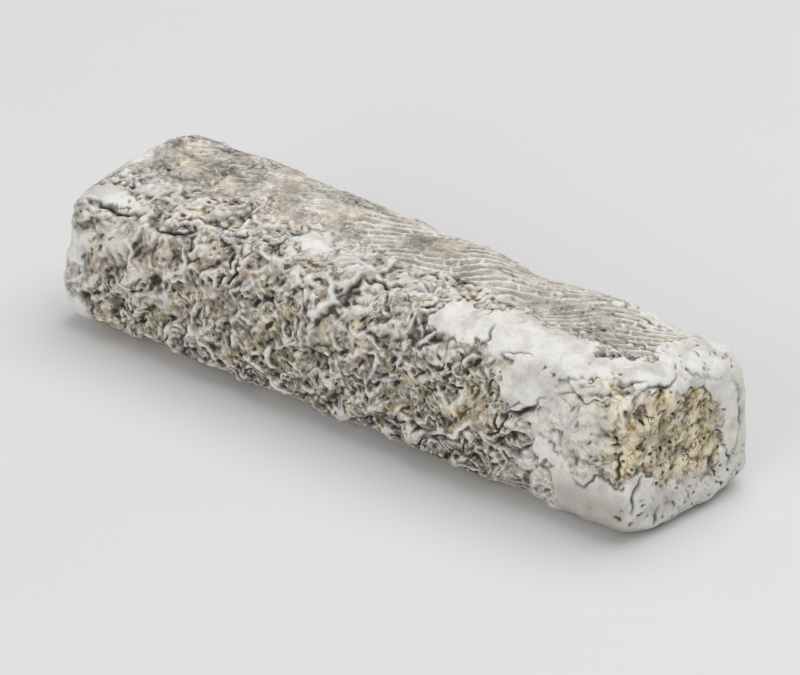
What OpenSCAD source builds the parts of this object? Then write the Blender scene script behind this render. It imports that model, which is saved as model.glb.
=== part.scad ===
// Goat cheese log, ripened on a draining mat: one solid piece of cheese.
//
// The log lies along X and stands on Z = 0, with the origin under its middle.
// Its near end is at +X and its creased front side faces -Y. The solid is one
// closed skin: a squarish section is carried along X, drawn in round the two
// ends, pressed flat underneath, and given the dents, lips and swellings that
// the curd took on while it drained and ripened.

/* [Log] */
// Length from end to end
log_length = 175; // [120:1:240]
// Width across the resting side
log_width = 46; // [36:1:60]
// Height of the middle of the log
log_height = 42; // [34:1:56]

/* [Section] */
// Squareness of the section, where 2 is round and 8 is nearly square
squareness = 4; // [2.5:0.1:8]
// Radius of the rounded edge round each end
edge_round = 7; // [3:0.5:12]
// How much wider the far end is than the middle, as a share of the width
taper = 0.06; // [0:0.01:0.12]
// Depth that the resting side is pressed flat
press = 0.5; // [0.2:0.1:1.5]
// How far the foot spreads, as a share of the width
foot_spread = 0.02; // [0:0.005:0.05]

/* [Lean] */
// Fall of the top towards the rear at the near end, as a share of the height
near_tilt = 0.075; // [-0.1:0.005:0.1]
// Fall of the top towards the rear at the far end, as a share of the height
far_tilt = -0.06; // [-0.1:0.005:0.1]
// Slant of the near end face, along X for each unit across
near_slant = 0.12; // [0:0.01:0.2]
// Slant of the far end face, along X for each unit across
far_slant = 0.1; // [0:0.01:0.2]
// How far the far end leans out at its foot
far_lean = 4.5; // [0:0.5:8]

/* [Dents and swellings] */
// Height of the slow swellings along the sides
swell = 0.35; // [0:0.05:0.8]
// Height of the lumps on the end faces
end_lumps = 0.7; // [0:0.1:1.2]
// Depth of the hollow in the middle of each end face
end_hollow = 1.2; // [0:0.1:3]
// How far the lip stands out over the front side at the far end
lip_reach = 1.4; // [0:0.1:2.5]
// Depth of the groove under that lip
groove_depth = 1.3; // [0:0.1:2]
// Height of the swelling on the rear top edge
shoulder = 1.7; // [0:0.1:3]
// How far the rear foot of the near end stands out
heel = 2.2; // [0:0.1:3]

/* [Mesh] */
// Points round the section
around = 64; // [32:4:72]
// Rings along the straight part
along = 50; // [24:2:56]
// Rings in the rounded edge of an end
edge_rings = 5; // [3:1:6]
// Rings across an end face
face_rings = 6; // [3:1:8]

/* [Hidden] */

half_length = log_length / 2;
half_width = log_width / 2;
half_height = log_height / 2;
RIND = [0.72, 0.70, 0.65];

// A smooth hump of height 1 round a centre, with the given spread.
function hump(v, centre, spread) = exp(-pow((v - centre) / spread, 2));

// The share of the way from the far end, 0, to the near end, 1.
function nearness(t) = (1 + t) / 2;

// Slow changes in width and height along the log, where t runs from -1 at
// the far end to 1 at the near end.
function width_factor(t) = 1 - taper * t
    + 0.010 * sin(210 * t + 40) + 0.008 * sin(430 * t - 60)
    + 0.018 * hump(abs(t), 0.90, 0.10) - 0.008 * hump(t, 0, 0.5);
function height_factor(t) = 1
    + 0.008 * sin(250 * t + 120) + 0.006 * sin(500 * t + 20);

// Radius of the squarish section at angle phi, where 0 is the rear, 90 the
// top, 180 the front and 270 the resting side. The section is drawn in by
// inset where the edge of an end is rounded, and is rounder at the ends.
function section_radius(t, phi, inset) =
    let (
        power = squareness - 0.5 * hump(abs(t), 1, 0.12),
        a = half_width * width_factor(t) - inset,
        b = half_height * height_factor(t) - inset
    )
    pow(pow(abs(cos(phi)) / a, power) + pow(abs(sin(phi)) / b, power), -1 / power);

// Relief on the sides: slow swellings, the lip with its groove at the far
// end, the shoulder on the rear top edge and the heel of the near end.
function side_relief(t, phi) =
    swell * (
        sin(560 * t + 2 * phi) * sin(3 * phi + 40)
        + 0.8 * sin(900 * t - 3 * phi + 70) * sin(2 * phi - 30)
        + 0.6 * sin(1400 * t + 4 * phi + 10)
    )
    + lip_reach * hump(t, -0.90, 0.16) * hump(phi, 140, 11)
    - groove_depth * hump(t, -0.94, 0.20) * hump(phi, 166, 15)
    + shoulder * hump(t, 0.60, 0.13) * hump(phi, 48, 20)
    - 0.3 * shoulder * hump(t, 0.32, 0.10) * hump(phi, 48, 20)
    + heel * hump(t, 0.97, 0.09) * hump(phi, 322, 16);

// Relief on an end face at share k of its radius: a shallow hollow and lumps.
function end_relief(k, phi, side) =
    -end_hollow * (1 - k * k)
    + end_lumps * (1 - pow(k, 6)) * (
        sin(2 * phi + 300 * k + 80 * side) * k
        + 0.7 * cos(3 * phi - 420 * k + 50 * side) * k
    );

// Slant of the end faces, which grows from the quarter points to the ends.
function slant(t) = (t < 0 ? -far_slant * t : near_slant * t)
    * min(1, max(0, 2 * abs(t) - 1));

// One point of the skin, from its station s along X, the share k of the
// section's radius, the inset of the rounded edge and the angle phi. Points
// that would lie under the resting side are pressed up onto it.
function skin_point(s, k, inset, phi) =
    let (
        t = max(-1, min(1, s / half_length)),
        side = t < 0 ? -1 : 1,
        r = k * (section_radius(t, phi, inset) + side_relief(t, phi)),
        y0 = r * cos(phi),
        z0 = r * sin(phi) + half_height * height_factor(t) - press,
        tilt = far_tilt * (1 - nearness(t)) + near_tilt * nearness(t),
        z1 = z0 * (1 - tilt * y0 / half_width),
        up = max(0, min(1, z1 / log_height)),
        y1 = y0 * (1 + foot_spread * pow(1 - up, 2)),
        lean = -far_lean * (0.5 - up) * hump(t, -1, 0.16),
        bulge = k < 1 ? side * end_relief(k, phi, side) : 0
    )
    [s + bulge + slant(t) * y1 + lean, y1, max(0, z1)];

// The rings of the far end, from the middle of its face to the straight part,
// as [station along X, share of the radius, inset]. The rounded edge is an arc
// that leaves the face at angle 0 and meets the sides at angle 90.
far_rings = concat(
    [for (i = [1 : face_rings - 1]) [-half_length, i / face_rings, edge_round]],
    [for (i = [0 : edge_rings])
        let (a = 90 * i / edge_rings)
        [-half_length + edge_round * (1 - cos(a)), 1, edge_round * (1 - sin(a))]]
);
straight = log_length - 2 * edge_round;
body_rings = [
    for (i = [1 : along - 1]) [-straight / 2 + straight * i / along, 1, 0]
];
near_rings = [
    for (i = [len(far_rings) - 1 : -1 : 0])
        [-far_rings[i].x, far_rings[i].y, far_rings[i].z]
];
rings = concat(far_rings, body_rings, near_rings);

module cheese_log() {
    last = len(rings) * around;
    points = concat(
        [for (ring = rings, j = [0 : around - 1])
            skin_point(ring.x, ring.y, ring.z, 360 * j / around)],
        [skin_point(-half_length, 0, edge_round, 0),
         skin_point(half_length, 0, edge_round, 0)]
    );
    walls = [
        for (i = [0 : len(rings) - 2], j = [0 : around - 1])
            let (
                n = (j + 1) % around,
                a = i * around + j,
                b = i * around + n,
                c = a + around,
                d = b + around
            )
            each [[a, b, d], [a, d, c]]
    ];
    far_cap = [for (j = [0 : around - 1]) [last, (j + 1) % around, j]];
    near_cap = [
        for (j = [0 : around - 1])
            [last + 1, last - around + j, last - around + (j + 1) % around]
    ];
    color(RIND) polyhedron(points, concat(walls, far_cap, near_cap), convexity = 4);
}

cheese_log();
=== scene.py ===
"""A whole goat cheese log, ripened on a draining mat until its skin creased and moulded."""
import math

import bpy
import numpy as np
from bpy.props import FloatProperty, FloatVectorProperty, PointerProperty
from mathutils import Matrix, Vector


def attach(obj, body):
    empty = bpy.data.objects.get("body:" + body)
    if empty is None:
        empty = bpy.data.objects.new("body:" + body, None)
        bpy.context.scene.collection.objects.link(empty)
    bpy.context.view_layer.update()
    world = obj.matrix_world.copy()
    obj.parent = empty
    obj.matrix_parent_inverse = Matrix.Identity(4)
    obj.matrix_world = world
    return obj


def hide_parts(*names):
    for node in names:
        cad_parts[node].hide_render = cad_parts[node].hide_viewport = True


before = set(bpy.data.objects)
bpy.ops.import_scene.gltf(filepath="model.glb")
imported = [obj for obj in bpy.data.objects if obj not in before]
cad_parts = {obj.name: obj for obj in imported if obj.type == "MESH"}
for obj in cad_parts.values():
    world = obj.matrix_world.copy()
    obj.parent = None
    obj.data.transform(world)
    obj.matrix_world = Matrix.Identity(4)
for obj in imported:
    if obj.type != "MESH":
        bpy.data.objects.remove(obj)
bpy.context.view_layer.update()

bl_info = {
    "name": "Goat cheese log",
    "version": (1, 0, 0),
    "blender": (4, 5, 0),
    "location": "3D View > Sidebar > Cheese",
    "description": "Makes a mould-ripened goat cheese log and a pale stage for it",
    "category": "Add Mesh",
}

MM = 0.001
NODE = "cheese_log"
BODY = "root"
MOST_TRIANGLES = 195000

# Name, place and width in metres, and power in watts of each lamp.
LAMPS = (("overhead", (0.25, 0.35, 1.5), 1.6, 16.2), ("front", (0.1, -1.6, 0.7), 1.2, 9.0))
SKY = 0.37
# The camera's turn from the front and its rise in degrees, its distance in metres, and
# how far to the right and up of the log's middle it looks, in mm.
CAMERA_TURN, CAMERA_RISE, CAMERA_AWAY = 38.7, 29.7, 0.9643
CAMERA_AIM = (0.67, -2.31)

# ---- settings ----


def length_prop(name, description, default):
    """A length in metres, given here in millimetres."""
    return FloatProperty(name=name, description=description, default=default * MM,
                         min=0.0, subtype="DISTANCE", unit="LENGTH", precision=5)


def share_prop(name, description, default):
    """A plain number, such as a share of a size."""
    return FloatProperty(name=name, description=description, default=default)


def linear(r, g, b):
    """Turns a colour given as 0 to 255 display values into linear light."""
    v = np.array([r, g, b]) / 255.0
    return tuple(np.where(v <= 0.04045, v / 12.92, ((v + 0.055) / 1.055) ** 2.4).tolist())


def colour_prop(name, description, r, g, b):
    """A colour, given here as 0 to 255 display values."""
    return FloatVectorProperty(name=name, description=description, subtype="COLOR",
                               size=3, min=0.0, max=1.0, default=linear(r, g, b))


class CheeseForm(bpy.types.PropertyGroup):
    """Sizes of the whole log, the same as those of the solid it stands for."""
    length: length_prop("Length", "Length from end to end", 175.0)
    width: length_prop("Width", "Width across the resting side", 46.0)
    height: length_prop("Height", "Height of the middle of the log", 42.0)
    edge_round: length_prop("Edge", "Radius of the edge round each end", 7.0)
    press: length_prop("Press", "Depth that the resting side is pressed flat", 0.5)
    squareness: share_prop("Squareness", "2 is a round section, 8 a square one", 4.0)
    taper: share_prop("Taper", "How much wider the far end is", 0.06)
    foot_spread: share_prop("Foot spread", "Spread of the foot over the width", 0.02)
    near_tilt: share_prop("Near tilt", "Fall of the top at the near end", 0.075)
    far_tilt: share_prop("Far tilt", "Fall of the top at the far end", -0.06)
    near_slant: share_prop("Near slant", "Slant of the near end face", 0.12)
    far_slant: share_prop("Far slant", "Slant of the far end face", 0.10)
    far_lean: length_prop("Far lean", "How far the far end leans out", 4.5)
    swell: length_prop("Swell", "Height of the slow swellings", 0.35)
    end_lumps: length_prop("End lumps", "Height of lumps on the ends", 0.7)
    end_hollow: length_prop("End hollow", "Depth of the hollow in the ends", 1.2)
    lip_reach: length_prop("Lip", "How far the far lip stands out", 1.4)
    groove_depth: length_prop("Groove", "Depth of the groove under the lip", 1.3)
    shoulder: length_prop("Shoulder", "Swelling on the rear top edge", 1.7)
    heel: length_prop("Heel", "Swelling on the rear foot", 2.2)


# The sizes of the form that are shares, and not lengths.
SHARES = ("squareness", "taper", "foot_spread", "near_tilt", "far_tilt", "near_slant", "far_slant")


class CheeseRelief(bpy.types.PropertyGroup):
    """Heights and depths of the rind's relief."""
    grid: length_prop("Grid", "Spacing of the points that the relief is worked out on", 0.27)
    large_fold: length_prop("Large folds", "Height of the large folds", 0.72)
    middle_fold: length_prop("Middle folds", "Height of the middle folds", 0.36)
    small_fold: length_prop("Small folds", "Height of the small folds", 0.20)
    crevice: length_prop("Crevices", "Depth of the narrow crevices", 0.9)
    mat_pitch: length_prop("Mat pitch", "Distance between the mat's strands", 2.65)
    mat_cell: length_prop("Mat cell", "Length of one cell of the mat's weave", 3.9)
    mat_depth: length_prop("Mat depth", "Depth of the mat's imprint", 0.34)
    film_rise: length_prop("Film", "Thickness of the white mould film", 0.35)
    crust_lump: length_prop("Crust lumps", "Height of lumps on the end crust", 0.65)
    crust_pit: length_prop("Crust pits", "Depth of the pits in the end crust", 0.6)


class CheeseColours(bpy.types.PropertyGroup):
    """Colours of the curd, the mould and the stage."""
    grey: colour_prop("Grey mould", "The rind's usual colour", 143, 136, 123)
    beige: colour_prop("Beige rind", "Bare rind between the moulds", 171, 157, 135)
    bloom: colour_prop("Bloom", "Thin pale mould over the rind", 225, 216, 206)
    cream: colour_prop("Cream", "Patches of bare curd", 226, 210, 178)
    # White is the real mould film, and also the painted highlight on crests and wrinkles.
    white: colour_prop("White mould", "The film and the crests of the folds", 242, 241, 236)
    rose: colour_prop("Pinkish mould", "Light pinkish grey mould", 186, 172, 160)
    haze: colour_prop("Olive haze", "Tint over the middle of the log", 253, 252, 241)
    blush: colour_prop("Blush", "Tint over the far part of the log", 255, 250, 247)
    # Olive and slate are real mould colours; the cool field also uses them as painted shade low on
    # the sides, and olive is painted shade between the crust's pebbles.
    olive: colour_prop("Olive mould", "Brownish damp patches", 118, 108, 84)
    slate: colour_prop("Blue-grey mould", "Cool patches low on the sides", 84, 87, 88)
    # Dark is the real dark spots, and also the painted shade in crevices, pits and slits, under
    # folds and beside the wrinkles.
    dark: colour_prop("Dark mould", "Crevices and dark spots", 40, 37, 30)
    crust: colour_prop("Crust", "The crust of the end faces", 241, 229, 198)
    stain: colour_prop("Stain", "Yellow-brown stains on the crust", 196, 172, 116)
    floor: colour_prop("Floor", "The pale floor", 226, 226, 227)


# ---- arithmetic ----


def hump(value, centre, spread):
    """A smooth hump of height 1: e to the minus square of the distance over the spread."""
    return np.exp(-((value - centre) / spread) ** 2)


def step(low, high, value):
    """Rises smoothly from 0 at low to 1 at high, as 3x^2 - 2x^3 of the share between."""
    x = np.clip((value - low) / (high - low), 0.0, 1.0)
    return x * x * (3.0 - 2.0 * x)


def sin_deg(angle):
    """Sine of an angle in degrees."""
    return np.sin(np.radians(angle))


def cos_deg(angle):
    """Cosine of an angle in degrees."""
    return np.cos(np.radians(angle))


def waves(points, length, seed, count=40):
    """Smooth random field of mean 0 and spread 1: plane waves of about the given length,
    in mm, with seeded directions and phases, are added and divided by sqrt(count / 2)."""
    rng = np.random.default_rng(seed)
    heading = rng.normal(size=(count, 3))
    heading /= np.linalg.norm(heading, axis=1)[:, None]
    numbers = heading * (2 * np.pi / (length * rng.uniform(0.75, 1.3, count)))[:, None]
    phases = rng.uniform(0, 2 * np.pi, count)
    field = points.astype(np.float32) @ numbers.T.astype(np.float32)
    field += phases.astype(np.float32)
    np.cos(field, out=field)
    return field.sum(-1) * math.sqrt(2.0 / count)


def fold(distance, width):
    """A fold that leans over to one side of a line. Its height is e to the minus distance
    over width on the steep side, where distance is above 0, and over four widths on the
    other. Returns the height, the share of painted highlight on its crest, and the share of
    painted shadow at the foot under it."""
    height = np.exp(np.where(distance > 0, -distance / width, distance / (4 * width)))
    pale = np.exp(-((distance + 0.4 * width) / (0.9 * width)) ** 2)
    dark = np.exp(-((distance - 1.7 * width) / (0.9 * width)) ** 2)
    return height, pale, dark


def wander(points, length, reach, seed):
    """Moves points about by up to about reach, each axis by a field of its own."""
    moves = [waves(points, length, seed + i, 24) for i in range(3)]
    return points + reach * np.stack(moves, -1)


# ---- the form ----


class Skin:
    """The log's skin on a grid of rings and spokes, with each point and its outward normal
    in mm. A place on the log is given as t, from -1 at the far end to 1 at the near end,
    the angle phi round the section in degrees, and the share k of the section's radius,
    which is under 1 on an end face."""

    def __init__(self, form, grid):
        f = self.form = {name: getattr(form, name) / (1 if name in SHARES else MM)
                         for name in form.__annotations__}
        station, share, inset = self.rings(f, grid / MM)
        spokes = int(2.0 * (f["width"] + f["height"]) * 0.95 / (grid / MM))
        phi = (np.arange(spokes) * (360.0 / spokes))[None, :]
        self.points = self.place(station[:, None], share[:, None], inset[:, None], phi)
        self.normals = self.outward(self.points)
        self.steps = [np.linalg.norm(span, axis=-1) for span in self.spans(self.points)]

    @staticmethod
    def spans(field):
        """Difference of each point's two neighbours, along the log and round it."""
        along = np.gradient(field, axis=0)
        around = (np.roll(field, -1, axis=1) - np.roll(field, 1, axis=1)) / 2
        return along, around

    def line_distance(self, field):
        """Signed distance in mm to the lines where a field is 0: the field over its slope
        on the skin. A slope under a quarter of the usual one counts as that."""
        slopes = [rise / np.maximum(run, 0.05)
                  for rise, run in zip(self.spans(field), self.steps)]
        slope = np.hypot(*slopes)
        usual = np.sqrt((slope ** 2).mean())
        return field / np.maximum(slope, 0.25 * usual)

    @staticmethod
    def rings(f, grid):
        """Rings from the middle of the far face to the middle of the near face: steps out
        across the face, a quarter circle round the edge, even steps along the side."""
        half, edge = f["length"] / 2, f["edge_round"]
        face = np.arange(1, int((f["height"] / 2 - edge) / grid) + 1)
        face = face[:-1] / face[-1]
        arc = np.linspace(0, 90, int(edge * np.pi / 2 / grid) + 1)
        side = np.linspace(-half + edge, half - edge, int(2 * (half - edge) / grid) + 1)
        end = np.concatenate([
            np.stack([np.full_like(face, -half), face, np.full_like(face, edge)], -1),
            np.stack([-half + edge * (1 - cos_deg(arc)), np.ones_like(arc),
                      edge * (1 - sin_deg(arc))], -1),
        ])
        middle = np.stack([side, np.ones_like(side), np.zeros_like(side)], -1)[1:-1]
        near = (end * [-1, 1, 1])[::-1]
        return np.concatenate([end, middle, near]).T

    def radius(self, t, phi, inset):
        """Radius of a squarish section: a superellipse whose half width and half height
        change slowly along the log, drawn in by inset at the ends."""
        f = self.form
        wide = (1 - f["taper"] * t + 0.010 * sin_deg(210 * t + 40)
                + 0.008 * sin_deg(430 * t - 60) + 0.018 * hump(np.abs(t), 0.90, 0.10)
                - 0.008 * hump(t, 0, 0.5))
        a = f["width"] / 2 * wide - inset
        b = f["height"] / 2 * self.rise(t) - inset
        power = f["squareness"] - 0.5 * hump(np.abs(t), 1, 0.12)
        across = (np.abs(cos_deg(phi)) / a) ** power
        up = (np.abs(sin_deg(phi)) / b) ** power
        return (across + up) ** (-1 / power)

    @staticmethod
    def rise(t):
        """The height at t as a share of the height in the middle."""
        return 1 + 0.008 * sin_deg(250 * t + 120) + 0.006 * sin_deg(500 * t + 20)

    def swellings(self, t, phi):
        """Slow swellings, the far lip and its groove, the rear shoulder and the heel."""
        f = self.form
        slow = (sin_deg(560 * t + 2 * phi) * sin_deg(3 * phi + 40)
                + 0.8 * sin_deg(900 * t - 3 * phi + 70) * sin_deg(2 * phi - 30)
                + 0.6 * sin_deg(1400 * t + 4 * phi + 10))
        return (f["swell"] * slow
                + f["lip_reach"] * hump(t, -0.90, 0.16) * hump(phi, 140, 11)
                - f["groove_depth"] * hump(t, -0.94, 0.20) * hump(phi, 166, 15)
                + f["shoulder"] * hump(t, 0.60, 0.13) * hump(phi, 48, 20)
                - 0.3 * f["shoulder"] * hump(t, 0.32, 0.10) * hump(phi, 48, 20)
                + f["heel"] * hump(t, 0.97, 0.09) * hump(phi, 322, 16))

    def place(self, station, k, inset, phi):
        """Where the point at a station, share, inset and angle lies, in mm."""
        f = self.form
        t = np.clip(station / (f["length"] / 2), -1, 1)
        side = np.where(t < 0, -1, 1)
        r = k * (self.radius(t, phi, inset) + self.swellings(t, phi))
        y = r * cos_deg(phi)
        z = r * sin_deg(phi) + f["height"] / 2 * self.rise(t) - f["press"]
        near = (1 + t) / 2
        z = z * (1 - (f["far_tilt"] * (1 - near) + f["near_tilt"] * near) * y / (f["width"] / 2))
        up = np.clip(z / f["height"], 0, 1)
        y = y * (1 + f["foot_spread"] * (1 - up) ** 2)
        lumps = (sin_deg(2 * phi + 300 * k + 80 * side) * k
                 + 0.7 * cos_deg(3 * phi - 420 * k + 50 * side) * k)
        bulge = np.where(k < 1, side * (-f["end_hollow"] * (1 - k * k)
                                        + f["end_lumps"] * (1 - k ** 6) * lumps), 0)
        slant = np.where(t < 0, -f["far_slant"] * t, f["near_slant"] * t)
        slant = slant * np.clip(2 * np.abs(t) - 1, 0, 1)
        x = station + bulge + slant * y - f["far_lean"] * (0.5 - up) * hump(t, -1, 0.16)
        return np.stack(np.broadcast_arrays(x, y, np.maximum(z, 0)), -1)

    @staticmethod
    def outward(points):
        """Unit normals of a grid closed round its spokes, from differences of neighbours."""
        along, around = Skin.spans(points)
        normal = np.cross(around, along)
        normal /= np.maximum(np.linalg.norm(normal, axis=-1, keepdims=True), 1e-9)
        return normal


def soften(field, cells):
    """A blur over about cells points each way: three running means in a row, wrapped
    round the section and held at the two ends."""
    width = 2 * int(cells) + 1
    for _ in range(3):
        wide = np.concatenate([field[:, -cells:], field, field[:, :cells]], 1)
        total = np.cumsum(np.pad(wide, ((0, 0), (1, 0))), 1)
        field = (total[:, width:] - total[:, :-width]) / width
        tall = np.pad(field, ((cells, cells), (0, 0)), mode="edge")
        total = np.cumsum(np.pad(tall, ((1, 0), (0, 0))), 0)
        field = (total[width:] - total[:-width]) / width
    return field


# ---- the main features ----
#
# Places on the front side and the top are (x, girth) in mm, where girth is the height on
# the front side and goes on over the front top edge: 65 is the middle of the top. Places
# on the near end are (y, z).

# Height, half width and path of each of the main folds on the front side and the top.
FOLDS = (
    (2.0, 0.9, ((2, 54), (0, 48), (-1, 40), (-4.5, 35), (-6.5, 30.5), (-8, 26), (-10, 23))),
    (1.2, 0.6, ((13.5, 43), (11.5, 48.5), (10.5, 52))),
    (0.8, 0.4, ((2, 38.5), (6, 39), (8.5, 41.5), (9, 46))),
    (0.9, 0.4, ((10, 34), (15.5, 38), (19, 40))),
    (0.9, 0.35, ((7.5, 32.5), (10.5, 31), (14, 29))),
    (0.9, 0.45, ((19, 31), (20.5, 35), (22.5, 33.5), (26.5, 34.5), (31, 38))),
    (0.8, 0.4, ((20.5, 45), (23, 41.5), (24.5, 38), (28, 36.5))),
    (0.9, 0.4, ((-17, 27), (-16, 23), (-14, 21.5))),
    (1.0, 0.4, ((-13, 28), (-12.5, 24), (-12, 20.5))),
    (0.9, 0.4, ((-10.5, 28.5), (-11, 24.5), (-10.5, 20.5))),
    (0.8, 0.4, ((-1, 21), (3.5, 23.5), (7, 27))),
    (0.9, 0.45, ((-61, 40), (-64.5, 33), (-65.5, 29), (-64.5, 25), (-61, 22.5))),
    (1.0, 0.5, ((-56, 44), (-51.5, 45), (-48, 47), (-45, 44))),
    (0.8, 0.4, ((-40, 48), (-37.5, 50.5), (-38, 55.5), (-37.5, 59))),
    (0.9, 0.4, ((-43, 46), (-38, 46), (-35.5, 44))),
    (0.9, 0.4, ((-48.5, 36), (-47.5, 31), (-47.5, 27))),
    (0.9, 0.5, ((-46.5, 25.5), (-51, 25.5), (-56.5, 24))),
    (0.9, 0.45, ((-44, 27.5), (-40, 31), (-36, 34))),
    (0.8, 0.4, ((-66, 8.5), (-63, 12), (-61, 14))),
    (0.8, 0.5, ((-50, 9), (-47, 11), (-46, 14.5))),
    (0.7, 0.5, ((70, 38), (74, 40), (79, 42))),
    (0.6, 0.3, ((83, 50), (82, 42), (81.5, 34))),
)

# Depth, half width and path of the crevices and cracks there.
CREVICES = (
    (1.3, 0.6, ((2.5, 49), (6, 49.5), (9.5, 50), (12.5, 52))),
    (1.3, 0.5, ((-1, 39), (0.5, 44), (1.5, 47.5))),
    (0.7, 0.3, ((-6.5, 22), (-3.5, 21.5), (-1, 22.5))),
    (0.7, 0.25, ((21, 45), (23.5, 49.5), (25.5, 53))),
    (1.3, 0.6, ((-83, 38.5), (-78, 39.5), (-72, 38.5), (-68, 39.5), (-63.5, 43))),
    (0.9, 0.4, ((-58.5, 38), (-51.5, 40), (-48, 43))),
    (1.1, 0.35, ((-35, 39), (-34, 34.5))),
    (1.1, 0.35, ((-32.5, 38.5), (-32, 34), (-33.5, 30.5))),
    (0.8, 0.3, ((-53.5, 14.5), (-49, 11))),
    (0.8, 0.3, ((39.5, 50), (41, 46), (40.5, 41))),
    (0.5, 0.2, ((32.5, 58.5), (33, 56), (36, 55), (36, 51))),
    (0.6, 0.25, ((27, 53), (27.5, 56), (28.5, 59))),
    (0.6, 0.25, ((63, 36), (67.5, 39), (70.5, 37), (74, 39), (78, 41))),
    (0.5, 0.25, ((45.5, 42.5), (50, 44.5), (54, 45))),
    (1.1, 0.35, ((47.5, 26), (47, 20.5), (49, 22), (50, 26), (53.5, 27), (57, 30), (60.5, 35))),
    (1.0, 0.35, ((68.5, 15.5), (72, 15), (74.5, 18), (78, 19), (80.5, 18), (82.5, 21))),
    (1.1, 0.45, ((81.5, 28), (81, 24), (81, 19.5))),
    (0.8, 0.3, ((76.5, 46), (79.5, 46.5), (80.5, 49.5), (83, 51))),
    (0.9, 0.6, ((-21, 31), (-19.5, 28.5))),
    (0.8, 0.6, ((22, 12.5), (25, 11.5), (29, 13))),
    (0.6, 0.25, ((20, 71), (26, 73), (31, 72))),
    (0.5, 0.2, ((66, 62), (71, 64), (77, 63.5))),
)

# Strength, centre and half sizes of the patches of each tint there.
PATCHES = {
    "cream": (
        (0.9, -75, 4.5, 8, 3.6), (1, -69, 67, 3.2, 2.4), (0.6, -47, 21, 8.5, 3.8),
        (0.9, -37.5, 39, 2.5, 3.5), (1, -14.5, 29.5, 4.5, 2.6), (1, -9.5, 53, 8, 4),
        (0.7, 4.5, 31.5, 2.5, 3), (0.5, 24, 27, 5, 4), (0.6, 73, 49, 6, 5),
    ),
    "pale": (
        (0.6, -84, 20, 3.5, 14), (0.8, -71, 30, 5, 6.5), (0.6, -70, 54, 12, 5),
        (1, -17, 55, 8, 5), (0.6, -8, 55, 13, 5), (0.8, -1, 52, 5, 3), (1, 0, 31, 2.6, 2),
        (0.45, 5, 45, 4, 4), (0.5, 13, 55, 10, 5), (0.6, 16, 36, 5, 3), (0.5, 58, 14, 8, 8),
        (0.75, 66, 32, 14, 13), (0.5, 66, 44, 8, 6),
    ),
    "cool": (
        (0.6, -77, 70, 9, 9), (0.7, -68, 18, 4, 4), (0.7, -62, 70, 14, 4),
        (0.9, -54, 41, 6, 3), (0.9, -53, 12.5, 4, 2.2), (0.9, -44.5, 27, 4, 1.8),
        (0.8, -36, 41, 4, 5), (0.8, -30, 22, 4, 5), (1, -20, 29.5, 2.6, 3.5),
        (0.9, -18, 18, 5, 5), (0.9, -14, 12, 7, 5), (0.9, -8, 46.5, 4, 3.5),
        (0.9, -0.5, 38, 2.2, 2.2), (0.6, 6, 20, 16, 6), (0.5, 8, 70, 24, 7),
        (0.8, 12, 23, 5, 5), (0.7, 16, 28, 3, 3), (0.9, 31, 14, 5, 5), (0.8, 38, 12, 6, 4),
        (1, 48, 20, 2.2, 5), (0.6, 58, 66, 20, 6),
    ),
    "stain": (
        (0.8, -77, 6.5, 2, 1.8), (0.6, -58, 7, 3, 2), (0.9, -39.5, 41.5, 1.8, 2.6),
        (0.35, -33, 10, 6, 3), (0.8, 12, 14, 4.5, 2), (0.4, 33, 19, 8, 4),
        (0.5, 44, 26, 7, 14), (0.8, 48, 38, 2.6, 2.6), (0.5, 79, 31, 2.5, 5),
    ),
}

# Centre and half sizes of the ovals of white film there.
FILM = (
    (48, 49, 24, 9), (55, 37, 8, 8), (33, 47, 10, 5), (82, 54, 8, 7), (84, 68, 7, 18),
    (72, 80, 14, 5), (-76, 44, 12, 4), (-17, 55, 5, 3.5), (62, 20, 4, 3),
)

# The same as FOLDS and CREVICES, as (y, z) on the near end.
END_FOLDS = (
    (0.6, 0.4, ((-3, 40), (2, 36.5), (8, 34))),
    (0.5, 0.5, ((11, 34), (13.5, 26), (14, 18), (12, 11))),
    (0.3, 0.4, ((-11.5, 12), (-10.5, 8), (-11, 5))),
    (0.3, 0.4, ((-3, 10), (-2, 7), (-1, 5))),
)
END_CREVICES = (
    (1.0, 0.3, ((-17.5, 19), (-18.5, 15.5), (-19, 12), (-18.5, 8.5))),
    (0.8, 0.35, ((-12, 9.5), (-12.5, 6.5), (-11.5, 3.5))),
    (0.6, 0.3, ((-7.5, 9), (-6.5, 7), (-7, 5.5))),
    (0.7, 0.3, ((-17, 40.5), (-11.5, 40), (-8, 39), (-4, 40.5))),
    (0.8, 0.35, ((11.5, 14), (12.5, 11.5), (12, 9.5))),
)

# Centre and half size of the stains on the near end.
END_STAINS = (
    (-16.5, 20, 3), (0, 21.5, 2.6), (6, 27, 2.4), (17, 8.5, 2), (-13, 36, 2), (-18, 30, 3),
)


def girth_of(points):
    """The height on the front side, carried on over the front top edge and the top."""
    half_width = 23.0
    return points[..., 2] + points[..., 1] + half_width


def smooth_path(path, spacing=0.2):
    """Points a spacing apart on the smooth curve through a path: each span is the cubic
    whose slopes at its ends are half the step between the points on either side."""
    nodes = np.array(path, float)
    nodes = np.concatenate([[2 * nodes[0] - nodes[1]], nodes, [2 * nodes[-1] - nodes[-2]]])
    spans = []
    for before, start, end, after in zip(nodes, nodes[1:], nodes[2:], nodes[3:]):
        count = max(2, int(np.linalg.norm(end - start) / spacing))
        u = np.linspace(0, 1, count, endpoint=False)[:, None]
        spans.append(0.5 * (2 * start + (end - before) * u
                            + (2 * before - 5 * start + 4 * end - after) * u ** 2
                            + (3 * start - before - 3 * end + after) * u ** 3))
    return np.concatenate([*spans, nodes[-2:-1]])


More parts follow.
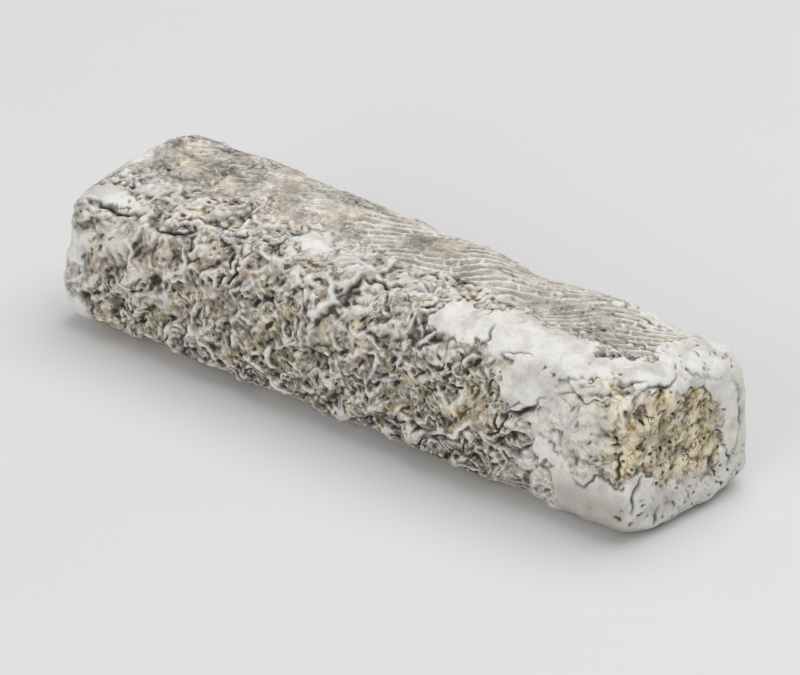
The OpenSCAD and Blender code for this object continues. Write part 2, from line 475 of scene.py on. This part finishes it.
def along_path(u, v, path, reach=4.0):
    """Signed distance from each point to a path, above 0 on the left of its way, and a
    share that rises from 0 at the path's ends to 1 along it. Points further off than
    reach get a distance of 99."""
    line = smooth_path(path)
    way = np.gradient(line, axis=0)
    low, high = line.min(0) - reach, line.max(0) + reach
    near = (u > low[0]) & (u < high[0]) & (v > low[1]) & (v < high[1])
    distance, fade = np.full(u.shape, 99.0), np.zeros(u.shape)
    du, dv = u[near][:, None] - line[:, 0], v[near][:, None] - line[:, 1]
    gaps = np.hypot(du, dv)
    best = gaps.argmin(1)
    rows = np.arange(len(best))
    left = way[best, 0] * dv[rows, best] - way[best, 1] * du[rows, best]
    distance[near] = gaps[rows, best] * np.where(left > 0, 1, -1)
    fade[near] = np.sin(np.pi * (best + 0.5) / len(line)) ** 0.4
    return distance, fade


# ---- the relief ----


def sides(skin):
    """How far each point belongs to the top, front, foot and two ends, 0 to 1."""
    n = skin.normals
    return {
        "top": step(0.35, 0.8, n[..., 2]),
        "front": step(0.0, 0.4, np.maximum(-n[..., 1], n[..., 2])) * (n[..., 1] < 0.75),
        "foot": step(0.5, 0.9, -n[..., 2]),
        "near": step(0.45, 0.8, n[..., 0]),
        "far": step(0.45, 0.8, -n[..., 0]),
    }


def oval(x, girth, u, v, half_u, half_v):
    """1 at (u, v), the middle of an oval patch, 0 at its edge, and less outside it."""
    return 1 - np.hypot((x - u) / half_u, (girth - v) / half_v)


def film_depth(skin, places):
    """Distance in mm inside the torn edge of the white film. In front it is a few ovals
    along the top edge and the skin low at the near end. Behind and below it is the high
    parts of a slow field. It covers each end outside a leaning oval of crust, and wraps
    some mm round the ends' edges where those are behind, below or far. Its edge is made
    ragged by finer and finer fields."""
    p = skin.points
    x, y, z = p[..., 0], p[..., 1], p[..., 2]
    girth = girth_of(p)
    depth = np.full(x.shape, -9.0)
    for u, v, half_u, half_v in FILM:
        depth = np.maximum(depth, min(half_u, half_v) * oval(x, girth, u, v, half_u, half_v))
    low_skin = np.minimum(17.5 + 0.15 * (x - 72) - girth, 1.2 * (x - 62))
    depth = np.maximum(depth, low_skin)
    seen = places["front"] > 0.3
    depth = np.where(seen, depth, -1.8 + 2.2 * waves(p, 24, 14))
    wrap = (np.where(seen & (x < 0), 0.0, 4.0) + 3.5 * waves(p, 11, 15)
            + 4.0 * np.abs(skin.normals[..., 0]) - 0.8 * np.maximum(86 - np.abs(x), 0))
    depth = np.maximum(depth, np.where(seen & (x > 0), -9.0, np.minimum(wrap, 3.0)))
    sideways, upward = np.abs(y + 6) / 17.0, np.abs(z + 0.35 * (y + 4) - 24) / 12.5
    rim = 13 * ((sideways ** 3 + upward ** 3) ** (1 / 3) - 1)
    rim = np.where(x < 0, np.minimum(rim, wrap), rim)
    ends = step(0.3, 0.6, np.maximum(places["near"], places["far"]))
    depth = depth * (1 - ends) + np.clip(rim, -9, 3) * ends
    return depth + 1.1 * waves(p, 9, 11) + 0.6 * waves(p, 3.2, 12) + 0.3 * waves(p, 1.4, 13)


def mat_imprint(relief, points):
    """Imprint of a woven mat. Strands run at 32 degrees to the log, a pitch apart, and are
    crossed at 50 degrees the other way by ties that step half a cell from row to row.
    Returns how much of a cell, against a ridge, each point is."""
    x, y = points[..., 0], points[..., 1]
    pitch, cell = relief.mat_pitch / MM, relief.mat_cell / MM
    across = (-x * sin_deg(32) + y * cos_deg(32)) / pitch
    row = np.floor(across)
    along = (x * cos_deg(40) + y * sin_deg(40)) / cell + 0.5 * row
    strand = np.abs((across % 1) - 0.5) * 2
    tie = np.abs((along % 1) - 0.5) * 2
    weak = step(-0.8, 0.8, waves(points, 9, 63))
    return step(0.05, 0.5, 1 - strand) * (1 - (1 - step(0.04, 0.28, 1 - tie)) * weak)


def pebbles(u, v, size, seed):
    """Height of a layer of round pebbles, 0 to 1: each cell of a grid holds one middle at
    a seeded place, and each point takes the dome of the nearest, 1 minus the square of
    its distance over a seeded radius."""
    rng = np.random.default_rng(seed)
    count = 64
    middle = rng.uniform(0.1, 0.9, (count, count, 2))
    radius = rng.uniform(0.45, 0.8, (count, count))
    u, v = u / size + count / 2, v / size + count / 2
    column, row = np.floor(u).astype(int), np.floor(v).astype(int)
    best = np.zeros(u.shape)
    for i in (-1, 0, 1):
        for j in (-1, 0, 1):
            a, b = (column + i) % count, (row + j) % count
            gap = np.hypot(u - column - i - middle[a, b, 0], v - row - j - middle[a, b, 1])
            best = np.maximum(best, 1 - (gap / radius[a, b]) ** 2)
    return best


def stretched(points, angle, share):
    """Squeezes points along a line in the XZ plane at an angle to X, so that a field taken
    there is drawn out along that line."""
    heading = np.array([cos_deg(angle), 0.0, sin_deg(angle)])
    return points - share * (points @ heading)[..., None] * heading


def scattered_folds(skin, relief, crumple, crinkle, smooth, panels, busy):
    """Folds of three sizes along meandering lines, with narrow crevices and pores between
    them. The lines lean one way or the other in turns. Returns the height in mm, the
    painted highlight on the crests, and the painted shade under the folds and in the
    crevices and pores, each 0 to 1."""
    p = skin.points
    flow = wander(stretched(p, 48, 0.45), 7.0, 0.7, 31)
    other = wander(stretched(p, -30, 0.45), 7.0, 0.7, 32)
    turn = step(-0.5, 0.5, waves(p, 16, 33))
    height, pale, dark = (np.zeros(busy.shape) for _ in range(3))
    sizes = (
        (relief.large_fold, 13.0, 0.42,
         crumple * step(-0.6, 0.6, waves(p, 9, 55)) * (1 - 0.6 * panels)),
        (relief.middle_fold, 7.0, 0.28,
         crinkle * step(-0.4, 0.8, waves(p, 6, 56)) * (0.5 + 0.5 * busy)),
        (relief.small_fold, 4.2, 0.22,
         crinkle * step(-0.5, 0.8, waves(p, 5, 61)) * (0.1 + 0.9 * busy)),
    )
    for seed, (size, length, width, share) in enumerate(sizes, 52):
        share = share * smooth
        field = waves(flow, length, seed) * turn + waves(other, length, seed + 40) * (1 - turn)
        rise, crest_highlight, foot = fold(skin.line_distance(field), width)
        height += size / MM * (rise - 0.3) * share
        pale = np.maximum(pale, crest_highlight * share)
        # Painted shadow at the foot under each fold.
        dark = np.maximum(dark, 0.8 * foot * share)
    height += crumple * smooth * (0.3 * waves(flow, 7.0, 57) + 0.12 * waves(p, 2.4, 59))
    gap = skin.line_distance(waves(flow, 8.0, 58))
    gap = np.exp(-(gap / 0.22) ** 2) * step(0.5, 1.3, waves(p, 6, 60)) * (0.3 + 0.7 * busy)
    pores = step(1.3, 2.0, waves(flow, 2.0, 62) + 0.9 * busy - 0.4)
    gap, pores = gap * crumple * smooth, pores * crumple * smooth
    height -= relief.crevice / MM * (gap + 0.35 * pores)
    # Painted shade in the crevices and pores.
    dark = np.maximum(dark, np.maximum(gap, 0.6 * pores))
    return height, pale, dark


def streaks_and_slits(p, unsettled, places):
    """Streaks along the top towards its two ends, slits near its near end, and pits low at
    the near end, each 0 to 1 and drawn out along the log."""
    x, y, z = p[..., 0], p[..., 1], p[..., 2]
    drawn = stretched(unsettled, 4, 0.75)
    ends_of_top = np.maximum(step(-42, -58, x), 0.8 * step(44, 60, x)) * places["top"]
    streaks = step(0.2, 1.2, waves(drawn, 2.6, 65)) * ends_of_top
    slits = step(1.5, 1.8, waves(drawn, 1.3, 66)) * step(40, 60, x) * places["top"]
    slits = slits * step(-6, -2, y)
    marks = step(1.4, 1.8, waves(drawn, 1.6, 67)) * step(15, 9, z) * step(70, 80, x)
    return streaks, np.maximum(slits, marks * (1 - places["foot"]))


def crust_of_pebbles(p, unsettled):
    """Knobs from pebbles of three sizes, about -0.8 to 1, and the pits between, 0 to 1."""
    across, up = unsettled[..., 1] + np.abs(unsettled[..., 0]), unsettled[..., 2]
    knobs = (0.9 * pebbles(across, up, 5.0, 71) + 0.6 * pebbles(across, up, 2.7, 72)
             + 0.2 * pebbles(across, up, 1.3, 77) - 0.8 + 0.25 * waves(p, 7, 75))
    pits = step(1.4, 1.8, waves(p, 1.7, 73)) * step(-0.6, 0.6, waves(p, 6, 74))
    return knobs, pits


def main_features(p, unsettled, places, height, pale, dark):
    """Adds the main folds and crevices to the height, a painted highlight on each fold's
    crest to pale, and painted shade under each fold and in each crevice to dark.
    """
    wobble = 0.1 * waves(p, 1.8, 86)
    uneven = np.clip(0.95 + 0.2 * waves(p, 3.5, 87), 0.4, 1.3)
    x, y, z = unsettled[..., 0], unsettled[..., 1], unsettled[..., 2]
    for u, v, folds, crevices, part in (
            (x, girth_of(unsettled), FOLDS, CREVICES, places["front"]),
            (y, z, END_FOLDS, END_CREVICES, places["near"])):
        for size, width, path in folds:
            distance, share = along_path(u, v, path)
            share = share * part * uneven
            rise, crest_highlight, foot = fold(distance + wobble, width)
            height += size * rise * share
            pale = np.maximum(pale, crest_highlight * share)
            # Painted shadow at the foot under each main fold.
            dark = np.maximum(dark, 0.8 * foot * share)
        for depth, width, path in crevices:
            distance, share = along_path(u, v, path)
            line = np.exp(-(distance / width) ** 2) * share * part
            height -= depth * line
            # Painted shade in each crevice.
            dark = np.maximum(dark, line)
    return height, pale, dark


def rind_relief(skin, relief):
    """Works out the height of the rind over the form, in mm, and the fields that the
    colours follow."""
    p = skin.points
    x, y, z = p[..., 0], p[..., 1], p[..., 2]
    places = sides(skin)
    front, near = places["front"], places["near"]
    unsettled = wander(p, 3.0, 0.25, 35)
    girth = girth_of(unsettled)

    # What covers each point: white film, the mat's imprint, crust, or crumpled rind.
    film = film_depth(skin, places)
    film_on = step(-0.2, 0.2, film)
    smooth = 1 - 0.85 * film_on
    border = -6 + 1.6 * waves(p, 14, 41) + 0.8 * waves(p, 4, 42)
    woven = step(0, 3, y - border) * step(0, 3, 20.5 - y + waves(p, 6, 43)) * places["top"]
    woven = np.maximum(woven, places["foot"])
    patchy = step(-1.0, 1.1, waves(p, 20, 44) + 1.0 * hump(x, 5, 30) + 1.2 * hump(x, 62, 22)
                  - 1.7 * step(-22, -40, x))
    mat = woven * (0.15 + 0.85 * patchy)
    corner = step(76, 80, x + waves(p, 5, 45)) * step(15, 19, z) * step(46, 41, z) * front
    crust = np.maximum(np.maximum(near, places["far"]), corner)
    bare_crust = crust * (1 - film_on)
    crumple = (1 - woven) * (1 - crust)
    crinkle = np.maximum(crumple, 0.65 * woven * (1 - patchy) * places["top"] * (1 - crust))

    # Folds are busiest low on the sides, and few on the calm panels.
    panels = (hump(x, -58, 20) * hump(girth, 24, 12) + hump(x, 0, 4) * hump(girth, 31, 4)
              + hump(x, -72, 6) * hump(girth, 30, 7) + hump(x, 72, 9) * hump(girth, 30, 12)
              + hump(x, 4, 8) * hump(girth, 46, 6))
    busy = step(-0.8, 1.1, 0.8 * waves(p, 13, 51) + 0.8 * hump(z, 8, 14) - 1.6 * panels * front)
    height, pale, dark = scattered_folds(skin, relief, crumple, crinkle, smooth, panels, busy)

    cells = mat_imprint(relief, wander(wander(p, 22.0, 1.0, 61), 4.0, 0.14, 64))
    height -= relief.mat_depth / MM * cells * mat * (1 - 0.6 * film_on)
    # Painted shadow in a thin line round each of the mat's cells.
    dark = np.maximum(dark, cells * (1 - cells) * mat * (1 - film_on))

    streaks, slits = streaks_and_slits(p, unsettled, places)
    streaks = streaks * smooth
    height -= 0.2 * streaks + 0.5 * slits
    # Painted shade in the slits and the pits low at the near end.
    dark = np.maximum(dark, 0.95 * slits)

    knobs, pits = crust_of_pebbles(p, unsettled)
    pits = pits * bare_crust
    height += relief.crust_lump / MM * knobs * crust * smooth
    height -= relief.crust_pit / MM * pits

    # The film lies over all that, a little proud, with soft creases and a torn edge, which gets a
    # painted shadow line along it.
    creases = fold(skin.line_distance(waves(p, 12, 84)), 0.5)[0] * step(0.2, 1.0, waves(p, 9, 85))
    height += (relief.film_rise / MM + 0.16 * waves(p, 6, 83) + 0.2 * creases) * film_on
    edge = np.exp(-((film + 0.3) / 0.2) ** 2) * step(0.2, 1.1, waves(p, 6, 81))
    height -= 0.5 * edge
    # Painted shadow along the film's torn edge, and painted shade in the crust's pits.
    dark = np.maximum(dark, np.maximum(0.9 * edge, pits))

    # The whole relief is sunk a little, and kept low at the foot.
    height, pale, dark = main_features(p, unsettled, places, height, pale, dark)
    height += 0.05 * waves(p, 1.6, 82) * (1 - 0.7 * film_on) - 0.3
    height = np.where(z < 8, np.minimum(height, 0.15 + 0.15 * z), height)

    # Broad tints: blue-grey mould patches, with painted shade added low on the sides, and pale
    # bloom near the top edge and the near end.
    bare_skin = crinkle * smooth
    cool = step(0.1, 1.3, 0.9 * waves(p, 9, 92) + 1.1 * hump(z, 2, 14) - 1.8 * hump(x, 76, 22)
                - 1.2 * panels * front - 1.2 * step(32, 48, girth)) * bare_skin
    bloom = step(0.0, 1.4, 0.9 * waves(p, 8, 93) + 1.3 * step(22, 46, girth)
                 + 1.5 * step(50, 64, x) + 0.5 * hump(x, -78, 14)) * bare_skin
    stains = np.zeros(x.shape)
    for centre_y, centre_z, half in END_STAINS:
        away = np.hypot(unsettled[..., 1] - centre_y, unsettled[..., 2] - centre_z)
        stains += np.exp(-(away / half) ** 2) * near
    # The pale tint starts as the painted highlight on the fold crests; the real pale patches are
    # added to it below.
    tints = {"cream": 0.0, "pale": pale, "cool": np.maximum(cool, 0.85 * streaks),
             "stain": stains, "bloom": bloom}
    ragged = 0.25 * waves(p, 2.6, 91)
    for tint, rows in PATCHES.items():
        for strength, *place in rows:
            inside = oval(unsettled[..., 0], girth, *place) + ragged
            tints[tint] = np.maximum(tints[tint], strength * step(-0.2, 0.6, inside) * front)
    return {
        "height": height, "film": np.maximum(film_on, 0.55 * step(-3.0, 0.5, film)),
        "cells": cells * mat, "mat": mat, "crust": bare_crust, "knobs": knobs,
        "skin": step(18, 10, z) * step(58, 66, x) * (1 - 0.75 * near),
        # crevice is painted shade: in crevices, pores, pits and slits, under the folds, along the
        # film's torn edge and round the mat's cells.
        "crevice": np.clip(dark, 0, 1), "busy": np.maximum(busy, 0.7 * bare_crust), **tints,
        "rosy": step(-1.3, 1.3, 0.8 * waves(p, 16, 94) - 1.6 * step(-55, -5, x) + 0.8),
        "hue": 1 - 0.8 * places["top"],
    }


def raise_skin(skin, height):
    """Moves each point out along its normal by the height, and keeps it above the floor."""
    moved = skin.points + skin.normals * height[..., None]
    moved[..., 2] = np.maximum(moved[..., 2], 0.0)
    return moved


# ---- meshes ----


def closed_mesh(name, grid, fields):
    """Makes a mesh of quads from a grid that is closed round its spokes, with a point and a
    fan of triangles in the middle of each end, and stores each field on its points."""
    rings, spokes = grid.shape[:2]
    poles = np.stack([grid[0].mean(0), grid[-1].mean(0)])
    points = np.concatenate([grid.reshape(-1, 3), poles]) * MM
    a = np.arange(rings * spokes).reshape(rings, spokes)
    b = np.roll(a, -1, axis=1)
    quads = np.stack([a[:-1], b[:-1], b[1:], a[1:]], -1).reshape(-1, 4)
    first, last = rings * spokes, rings * spokes + 1
    fans = np.concatenate([
        np.stack([b[0], a[0], np.full(spokes, first)], -1),
        np.stack([a[-1], b[-1], np.full(spokes, last)], -1),
    ])
    mesh = bpy.data.meshes.new(name)
    mesh.vertices.add(len(points))
    mesh.vertices.foreach_set("co", points.astype(np.float32).ravel())
    corners = np.concatenate([quads.ravel(), fans.ravel()]).astype(np.int32)
    starts = np.concatenate([np.arange(len(quads)) * 4,
                             len(quads) * 4 + np.arange(len(fans)) * 3]).astype(np.int32)
    mesh.loops.add(len(corners))
    mesh.loops.foreach_set("vertex_index", corners)
    mesh.polygons.add(len(starts))
    mesh.polygons.foreach_set("loop_start", starts)
    mesh.update(calc_edges=True)
    mesh.validate()
    for key, field in fields.items():
        values = np.concatenate([field.ravel(), [field[0].mean(), field[-1].mean()]])
        layer = mesh.attributes.new(key, "FLOAT", "POINT")
        layer.data.foreach_set("value", values.astype(np.float32))
    mesh.shade_smooth()
    return mesh


def thin_out(piece, most):
    """Applies a Decimate modifier that keeps the piece under most triangles, so that small
    triangles stay only where the relief is sharp."""
    piece.data.calc_loop_triangles()
    count = len(piece.data.loop_triangles)
    if count <= most:
        return
    thin = piece.modifiers.new("thin_out", "DECIMATE")
    thin.ratio = most / count
    shown = piece.evaluated_get(bpy.context.evaluated_depsgraph_get())
    mesh = bpy.data.meshes.new_from_object(shown)
    piece.modifiers.remove(thin)
    old, piece.data = piece.data, mesh
    mesh.name = old.name
    bpy.data.meshes.remove(old)
    mesh.shade_smooth()


def add_piece(name, mesh, material):
    """Puts a mesh into the scene as a piece that rides with the log."""
    piece = bpy.data.objects.new(name, mesh)
    bpy.context.scene.collection.objects.link(piece)
    mesh.materials.append(material)
    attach(piece, BODY)
    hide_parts(NODE)
    return piece


# ---- materials ----


class Nodes:
    """Short ways to add and join shader nodes in one material."""

    def __init__(self, name):
        self.material = bpy.data.materials.new(name)
        self.material.use_nodes = True
        self.tree = self.material.node_tree
        self.tree.nodes.clear()
        self.place = self.add("Mapping", {
            "Scale": (1 / MM, 1 / MM, 1 / MM), "Vector": self.add("TexCoord").outputs["Object"],
        }).outputs["Vector"]

    def add(self, kind, inputs=None, **settings):
        """Adds a node. Each of its inputs that is given is set to a number or colour, or
        joined to another node's output."""
        node = self.tree.nodes.new("ShaderNode" + kind)
        for name, value in settings.items():
            setattr(node, name, value)
        for name, value in (inputs or {}).items():
            socket = node.inputs[name]
            if isinstance(value, bpy.types.NodeSocket):
                self.tree.links.new(value, socket)
            elif socket.type == "RGBA":
                socket.default_value = (*value[:3], 1.0)
            else:
                socket.default_value = value
        return node

    def field(self, name):
        """The field of that name on the mesh's points."""
        return self.add("Attribute", attribute_name=name).outputs["Fac"]

    def math(self, operation, a, b=0.0):
        return self.add("Math", {0: a, 1: b}, operation=operation).outputs[0]

    def times(self, a, b):
        return self.math("MULTIPLY", a, b)

    def plus(self, a, b):
        return self.math("ADD", a, b)

    def less(self, a, b):
        return self.math("SUBTRACT", a, b)

    def noise(self, length, detail=2.0, seed=0.0, bend=0.0, rough=0.55):
        """Noise of about the given length in mm, moved away from the others by its seed."""
        shift = self.add("Mapping", {"Location": (seed * 37.1, seed * -21.7, seed * 53.3),
                                     "Vector": self.place})
        return self.add("TexNoise", {
            "Scale": 1.0 / length, "Detail": detail, "Roughness": rough, "Distortion": bend,
            "Vector": shift.outputs["Vector"],
        }).outputs["Fac"]

    def band(self, value, low, high):
        """Rises smoothly from 0 to 1 as value goes from low to high."""
        return self.add("MapRange", {"Value": value, "From Min": low, "From Max": high},
                        interpolation_type="SMOOTHSTEP").outputs["Result"]

    def patches(self, length, detail, seed, low, high, share=1.0):
        """Soft patches of about the given length in mm, worth share in their middles."""
        return self.times(share, self.band(self.noise(length, detail, seed), low, high))

    def mix(self, share, a, b, way="MIX"):
        """Goes from colour a to b, or to a blended with b in another way, by a share."""
        return self.add("Mix", {"Factor": share, "A": a, "B": b}, data_type="RGBA",
                        blend_type=way).outputs["Result"]

    def shade(self, colour, factor):
        """Multiplies a colour by a number."""
        return self.add("VectorMath", {0: colour, "Scale": factor}, operation="SCALE").outputs[0]

    def finish(self, colour, rough, bumps=None, bump=0.0, glow=0.0):
        """Ends with a dull surface, which may have bumps bump metres high and may let
        light a little way in."""
        inputs = {"Base Color": colour, "Roughness": rough, "Specular IOR Level": 0.3}
        if glow:
            inputs.update({"Subsurface Weight": glow, "Subsurface Radius": (1.0, 0.8, 0.6),
                           "Subsurface Scale": 0.6 * MM})
        if bumps:
            node = self.add("Bump", {"Distance": bump, "Height": bumps})
            inputs["Normal"] = node.outputs["Normal"]
        shader = self.add("BsdfPrincipled", inputs)
        self.add("OutputMaterial", {"Surface": shader.outputs["BSDF"]})
        return self.material


def rind_material(c):
    """The rind: grey, beige and pinkish mould, mottled finely, with painted shade in the
    crevices, painted highlights on the crests, white film, the mat's cells and the ends'
    crust, each where its field says."""
    n = Nodes("rind")
    crests, film, crust = n.field("crests"), n.field("film"), n.field("crust")
    mat, cells, crevice = n.field("mat"), n.field("cells"), n.field("crevice")
    cool, bloom, rosy = n.field("cool"), n.field("bloom"), n.field("rosy")

    # Bare rind, with bloom, the mat's weave and the cool patches.
    base = n.mix(n.patches(7.0, 3.0, 1, 0.40, 0.60), c.grey, n.mix(rosy, c.beige, c.rose))
    colour = n.mix(n.times(0.6, bloom), base, c.bloom)
    colour = n.mix(n.patches(4.5, 3.0, 3, 0.54, 0.68, 0.6), colour, c.cream)
    shade = n.mix(n.patches(6.0, 3.0, 4, 0.44, 0.60), c.slate, c.olive)
    grey = n.mix(n.patches(16.0, 3.0, 17, 0.42, 0.62), c.grey, c.olive)
    weave = n.mix(cells, c.white, n.mix(0.5, grey, c.bloom))
    weave = n.mix(n.patches(12.0, 4.0, 16, 0.50, 0.64, 0.6), weave, c.bloom)
    colour = n.mix(n.times(0.88, mat), colour, weave)
    # Cool patches of blue-grey and olive mould, with painted shade low on the sides.
    colour = n.mix(n.times(n.less(0.85, n.times(0.4, mat)), cool), colour, shade)

    # The crust of the ends, with painted shade between its pebbles.
    yellow = n.mix(n.patches(5.0, 3.0, 5, 0.44, 0.60), c.crust, c.stain)
    yellow = n.mix(n.patches(4.0, 3.0, 14, 0.52, 0.64, 0.7), yellow, c.bloom)
    yellow = n.mix(n.times(0.8, n.band(n.field("knobs"), 0.0, -0.6)), yellow, c.olive)
    yellow = n.mix(n.patches(6.0, 4.0, 6, 0.56, 0.66, 0.55), yellow, c.grey)
    yellow = n.mix(n.patches(1.5, 1.0, 21, 0.33, 0.29), yellow, c.dark)
    colour = n.mix(crust, colour, yellow)
    colour = n.mix(n.times(0.7, n.field("cream")), colour, c.cream)
    colour = n.mix(n.times(0.7, n.field("stain")), colour, c.stain)

    # Fine mottling, strongest on busy rind: light and dark spots of two sizes.
    mottle = n.noise(1.5, 4.0, 7, 0.5, 0.62)
    fine = n.noise(0.7, 4.0, 13, 0.4, 0.6)
    rough = n.times(n.less(1.0, film), n.plus(0.4, n.times(0.6, n.field("busy"))))
    rough = n.times(rough, n.less(1.0, n.times(0.7, mat)))
    lit = n.times(rough, n.less(1.0, n.times(0.5, cool)))
    dim = n.times(rough, n.less(1.0, n.times(0.5, n.plus(bloom, crust))))
    colour = n.mix(n.times(0.75, n.times(n.band(mottle, 0.50, 0.58), lit)), colour, c.bloom)
    colour = n.mix(n.times(0.7, n.times(n.band(mottle, 0.48, 0.40), dim)), colour, shade)
    colour = n.mix(n.times(0.5, n.times(n.band(fine, 0.54, 0.62), lit)), colour, c.white)
    colour = n.mix(n.times(0.75, n.times(n.band(fine, 0.45, 0.37), dim)), colour, c.dark)

    # Thin wrinkles, each a painted highlight line with a painted shadow line beside it.
    wrinkle = n.noise(4.2, 2.0, 23, 1.0, 0.5)
    wrinkled = n.times(rough, n.patches(7.0, 2.0, 24, 0.44, 0.54))
    line = n.math("ABSOLUTE", n.less(wrinkle, 0.50))
    line = n.times(n.band(line, 0.026, 0.006), wrinkled)
    wrinkle_shadow = n.math("ABSOLUTE", n.less(wrinkle, 0.545))
    wrinkle_shadow = n.times(n.band(wrinkle_shadow, 0.03, 0.006), wrinkled)
    colour = n.mix(n.times(0.7, wrinkle_shadow), colour, c.dark)
    colour = n.mix(n.times(0.8, line), colour, c.white)

    # Broad tints and tones, painted highlights on the crests and painted shade in the hollows.
    colour = n.mix(n.field("hue"), colour, n.mix(rosy, c.haze, c.blush), "MULTIPLY")
    tone = n.plus(n.patches(9.0, 3.0, 20, 0.40, 0.60, 0.36),
                  n.patches(3.6, 3.0, 22, 0.40, 0.60, 0.32))
    colour = n.shade(colour, n.plus(0.72, tone))
    crest_highlight = n.times(0.75, n.band(crests, 0.05, 0.45))
    colour = n.mix(crest_highlight, colour, n.mix(n.times(0.7, crust), c.white, c.crust))
    hollow_shade = n.times(n.band(crests, -0.05, -0.5), n.less(0.8, n.times(0.3, n.plus(crust, mat))))
    colour = n.shade(colour, n.less(1.0, hollow_shade))
    # Painted highlight on the fold crests, and the real pale patches.
    colour = n.mix(n.times(0.9, n.field("pale")), colour, c.white)

    # The white film, and the painted shade of the crevices over everything.
    film_tint = n.mix(n.patches(4.0, 4.0, 8, 0.48, 0.68, 0.5), c.white, c.bloom)
    film_tint = n.mix(n.patches(2.0, 4.0, 15, 0.54, 0.64, 0.14), film_tint, c.grey)
    film_tint = n.mix(n.patches(8.0, 3.0, 18, 0.48, 0.64, 0.3), film_tint, c.grey)
    film_tint = n.mix(n.times(0.55, n.field("skin")), film_tint, c.grey)
    colour = n.mix(n.times(0.93, film), colour, film_tint)
    colour = n.mix(n.times(0.92, crevice), colour, c.dark)

    bumps = n.plus(n.times(0.6, fine), n.times(0.3, n.noise(0.35, 3.0, 10)))
    bumps = n.plus(n.times(mottle, rough), bumps)
    bumps = n.plus(bumps, n.less(n.times(0.4, line), n.times(0.5, wrinkle_shadow)))
    return n.finish(colour, 0.85, bumps, 0.5 * MM, 0.06)


def floor_material(c):
    """A plain matt floor with a very faint mottle."""
    n = Nodes("floor")
    colour = n.shade(c.floor, n.plus(0.985, n.times(0.03, n.noise(90.0))))
    return n.finish(colour, 0.95)


# ---- operators ----


class CHEESE_OT_rind(bpy.types.Operator):
    """Makes the log with its creased and moulded rind"""
    bl_idname = "cheese.rind"
    bl_label = "Rind"

    def execute(self, context):
        scene = context.scene
        relief = scene.cheese_relief
        skin = Skin(scene.cheese_form, relief.grid)
        found = rind_relief(skin, relief)
        height = found.pop("height")
        # Crests stand above the blurred height round them, and hollows lie under it. The crests
        # field paints highlights on the crests and shade in the hollows.
        narrow, wide = height - soften(height, 2), height - soften(height, 9)
        found["crests"] = np.clip(1.3 * narrow + 0.5 * wide, -1, 1)
        mesh = closed_mesh("rind", raise_skin(skin, height), found)
        piece = add_piece("rind", mesh, rind_material(scene.cheese_colours))
        thin_out(piece, MOST_TRIANGLES)
        return {"FINISHED"}


class CHEESE_OT_stage(bpy.types.Operator):
    """Makes the floor, the lights and the camera"""
    bl_idname = "cheese.stage"
    bl_label = "Stage"

    def execute(self, context):
        scene = context.scene
        mesh = bpy.data.meshes.new("floor")
        reach = 6.0
        corners = [(-reach, -reach, 0), (reach, -reach, 0), (reach, reach, 0), (-reach, reach, 0)]
        mesh.from_pydata(corners, [], [(0, 1, 2, 3)])
        mesh.materials.append(floor_material(scene.cheese_colours))
        self.put(scene, "floor", mesh)
        for name, place, size, power in LAMPS:
            lamp = bpy.data.lights.new(name, "AREA")
            lamp.shape, lamp.size, lamp.energy = "DISK", size, power
            thing = self.put(scene, name, lamp, Vector(place))
            thing.rotation_euler = (-thing.location).to_track_quat("-Z", "Y").to_euler()
        scene.world = bpy.data.worlds.new("studio")
        scene.world.use_nodes = True
        sky = scene.world.node_tree.nodes["Background"]
        sky.inputs["Color"].default_value = (1.0, 1.0, 1.0, 1.0)
        sky.inputs["Strength"].default_value = SKY
        scene.view_settings.view_transform = "Standard"
        self.camera(scene)
        return {"FINISHED"}

    @staticmethod
    def put(scene, name, data, place=(0, 0, 0)):
        thing = bpy.data.objects.new(name, data)
        thing.location = place
        scene.collection.objects.link(thing)
        return thing

    def camera(self, scene):
        """A long lens that looks down on the front side and the near end."""
        turn, rise = math.radians(CAMERA_TURN), math.radians(CAMERA_RISE)
        back = Vector((math.sin(turn) * math.cos(rise), -math.cos(turn) * math.cos(rise),
                       math.sin(rise)))
        right = Vector((math.cos(turn), math.sin(turn), 0))
        up = back.cross(right)
        middle = Vector((0, 0, 20 * MM))
        aim = middle + right * CAMERA_AIM[0] * MM + up * CAMERA_AIM[1] * MM
        data = bpy.data.cameras.new("camera")
        data.lens, data.sensor_width, data.clip_end = 180.0, 36.0, 50.0
        scene.camera = self.put(scene, "camera", data, middle + back * CAMERA_AWAY)
        view = scene.camera.location - aim
        scene.camera.rotation_euler = view.to_track_quat("Z", "Y").to_euler()


class CHEESE_PT_panel(bpy.types.Panel):
    """Lists the pieces and the stage"""
    bl_idname = "CHEESE_PT_panel"
    bl_label = "Goat cheese log"
    bl_space_type = "VIEW_3D"
    bl_region_type = "UI"
    bl_category = "Cheese"

    def draw(self, context):
        for operator in OPERATORS:
            self.layout.operator(operator.bl_idname)


OPERATORS = (CHEESE_OT_rind, CHEESE_OT_stage)
SETTINGS = {"cheese_form": CheeseForm, "cheese_relief": CheeseRelief,
            "cheese_colours": CheeseColours}
CLASSES = (*SETTINGS.values(), *OPERATORS, CHEESE_PT_panel)


def register():
    for item in CLASSES:
        bpy.utils.register_class(item)
    for name, group in SETTINGS.items():
        setattr(bpy.types.Scene, name, PointerProperty(type=group))


def unregister():
    for name in SETTINGS:
        delattr(bpy.types.Scene, name)
    for item in reversed(CLASSES):
        bpy.utils.unregister_class(item)


def main():
    """Makes everything."""
    register()
    bpy.ops.cheese.rind()
    bpy.ops.cheese.stage()


if __name__ == "__main__":
    main()
